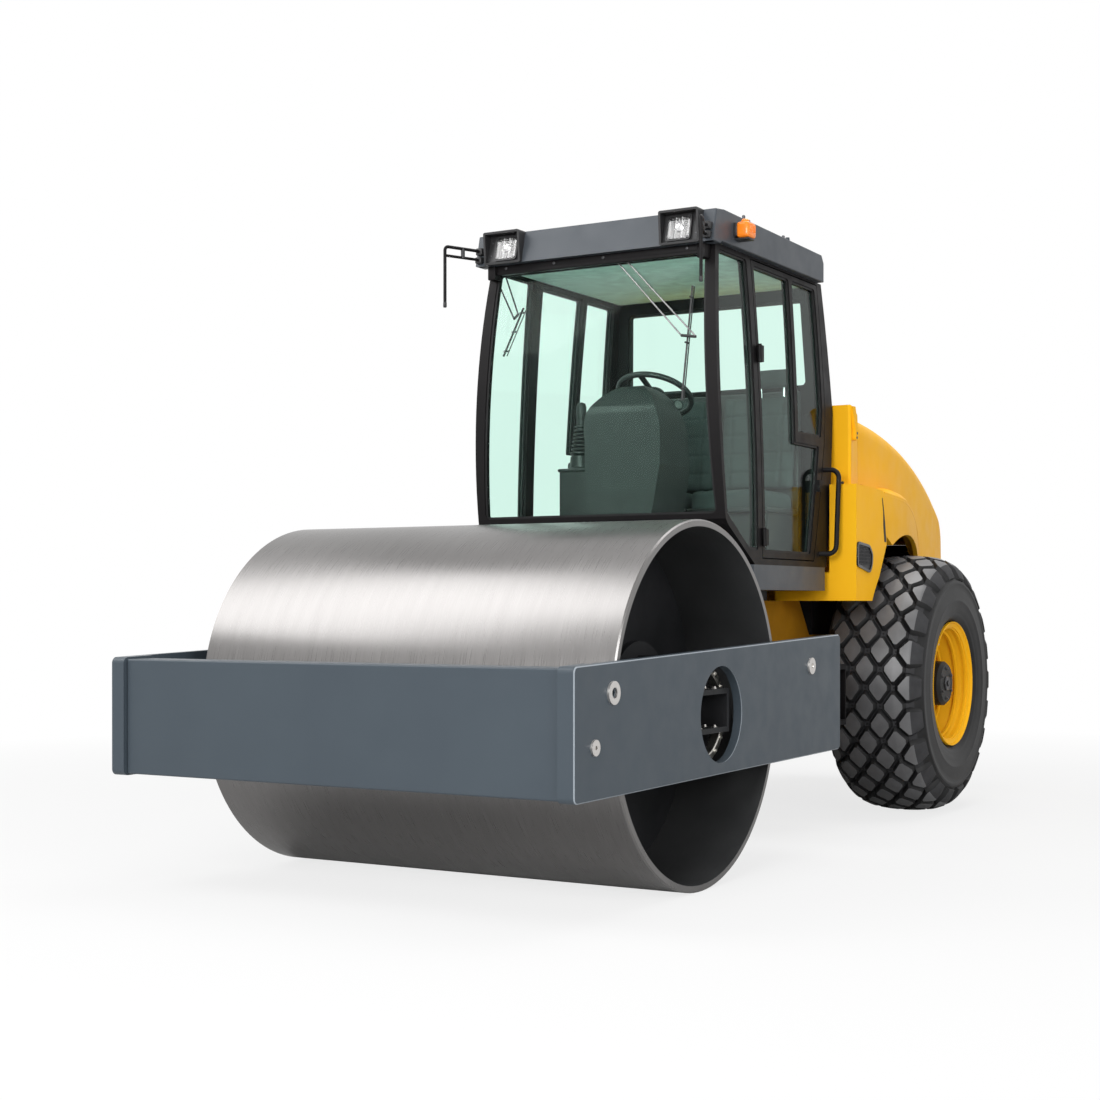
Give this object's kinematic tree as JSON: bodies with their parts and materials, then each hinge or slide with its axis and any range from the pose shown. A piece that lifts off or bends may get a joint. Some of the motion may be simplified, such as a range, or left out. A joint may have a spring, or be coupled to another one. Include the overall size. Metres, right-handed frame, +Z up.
{
  "type": "road roller",
  "caption": "Articulated single drum road roller: smooth steel drum in a slate frame, glazed cab, yellow engine hood and treaded rear tyres.",
  "frame": {"origin": "on the ground, in the middle of the machine's length and width", "axes": "+X to the machine's left, +Y to its rear, +Z up; the drum is at -Y"},
  "size_m": [2.24, 5.9107, 3.0618],
  "materials": {
    "frame_slate": "satin slate grey paint",
    "drum_steel": "bare rolled steel, brushed around the drum",
    "inner_steel": "dark matt paint",
    "roof_slate": "satin dark grey paint",
    "cab_black": "satin black paint",
    "hood_yellow": "gloss yellow paint",
    "chassis_yellow": "gloss yellow paint",
    "tyre_rubber": "black rubber",
    "cab_glass": "green tinted safety glass",
    "black_plastic": "matt black",
    "seat_fabric": "dark woven cloth",
    "lamp_lens": "clear lens over a reflector",
    "lamp_orange": "orange lens",
    "ram_chrome": "polished",
    "cast_black": "painted casting"
  },
  "bodies": {
    "rear_frame": {"rear_frame": "chassis_yellow", "counterweight": "cast_black", "rear_axle": "cast_black", "engine_block": "inner_steel", "cab_floor": "roof_slate", "cab_frame": "cab_black", "cab_roof": "roof_slate", "windshield": "cab_glass", "side_glass": "cab_glass", "rear_glass": "cab_glass", "controls": "black_plastic", "steering_wheel": "black_plastic", "seat_pedestal": "black_plastic", "seat_cushions": "seat_fabric", "seat_backs": "seat_fabric", "lamp_hoods": "black_plastic", "work_lamps": "lamp_lens", "turn_lamps": "lamp_orange", "mirror_arms": "cab_black", "grab_rails": "cab_black", "bulkhead": "hood_yellow", "fender_boxes": "hood_yellow", "access_steps": "cab_black"},
    "center_link": {"center_link": "cast_black"},
    "front_frame": {"side_plates": "frame_slate", "front_crossbeam": "frame_slate", "rear_crossbeam": "frame_slate", "scrapers": "inner_steel", "drum_supports": "inner_steel"},
    "drum": {"drum_shell": "drum_steel", "drum_heads": "inner_steel"},
    "wheel_left": {"tyre_left": "tyre_rubber", "rim_left": "hood_yellow", "hub_left": "cast_black"},
    "wheel_right": {"tyre_right": "tyre_rubber", "rim_right": "hood_yellow", "hub_right": "cast_black"},
    "door": {"door_frame": "cab_black", "door_glass": "cab_glass"},
    "hood": {"hood_shell": "hood_yellow", "hood_grille": "inner_steel"},
    "ram_barrel_left": {"ram_barrel_left": "cast_black"},
    "ram_rod_left": {"ram_rod_left": "ram_chrome"},
    "ram_barrel_right": {"ram_barrel_right": "cast_black"},
    "ram_rod_right": {"ram_rod_right": "ram_chrome"}
  },
  "joints": [
    {"name": "steer", "type": "hinge", "parent": "rear_frame", "child": "center_link", "pos_m": [0, -0.21, 0.7], "axis": [0, 0, 1], "range_deg": [-35, 35]},
    {"name": "swing", "type": "hinge", "parent": "center_link", "child": "front_frame", "pos_m": [0, -0.5, 0.7], "axis": [0, 1, 0], "range_deg": [-10, 10]},
    {"name": "drum_roll", "type": "hinge", "parent": "front_frame", "child": "drum", "pos_m": [0, -1.83, 0.76], "axis": [1, 0, 0], "continuous": true},
    {"name": "wheel_left_roll", "type": "hinge", "parent": "rear_frame", "child": "wheel_left", "pos_m": [0.809, 1.413, 0.724], "axis": [1, 0, 0], "continuous": true},
    {"name": "wheel_right_roll", "type": "hinge", "parent": "rear_frame", "child": "wheel_right", "pos_m": [-0.809, 1.413, 0.724], "axis": [1, 0, 0], "continuous": true},
    {"name": "door_swing", "type": "hinge", "parent": "rear_frame", "child": "door", "pos_m": [0.702, -0.378, 1.5], "axis": [0.0289, 0, -0.9996], "range_deg": [0, 95]},
    {"name": "hood_lift", "type": "hinge", "parent": "rear_frame", "child": "hood", "pos_m": [0, 0.853, 2.223], "axis": [1, 0, 0], "range_deg": [0, 50]},
    {"name": "ram_left_swing", "type": "hinge", "parent": "rear_frame", "child": "ram_barrel_left", "pos_m": [0.24, 0.27, 0.7], "axis": [0, 0, 1], "range_deg": [-3.2, 3.2]},
    {"name": "ram_left_slide", "type": "slide", "parent": "ram_barrel_left", "child": "ram_rod_left", "axis": [-0.124, -0.9923, 0], "range_m": [-0.108, 0.108]},
    {"name": "ram_right_swing", "type": "hinge", "parent": "rear_frame", "child": "ram_barrel_right", "pos_m": [-0.24, 0.27, 0.7], "axis": [0, 0, 1], "range_deg": [-3.2, 3.2]},
    {"name": "ram_right_slide", "type": "slide", "parent": "ram_barrel_right", "child": "ram_rod_right", "axis": [0.124, -0.9923, 0], "range_m": [-0.108, 0.108]}
  ],
  "couplings": [
    {"joint": "ram_left_swing", "follows": "steer", "ratio": 0.08378},
    {"joint": "ram_left_slide", "follows": "steer", "m_per_rad": -0.17039},
    {"joint": "ram_right_swing", "follows": "steer", "ratio": 0.08378},
    {"joint": "ram_right_slide", "follows": "steer", "m_per_rad": 0.17039}
  ]
}
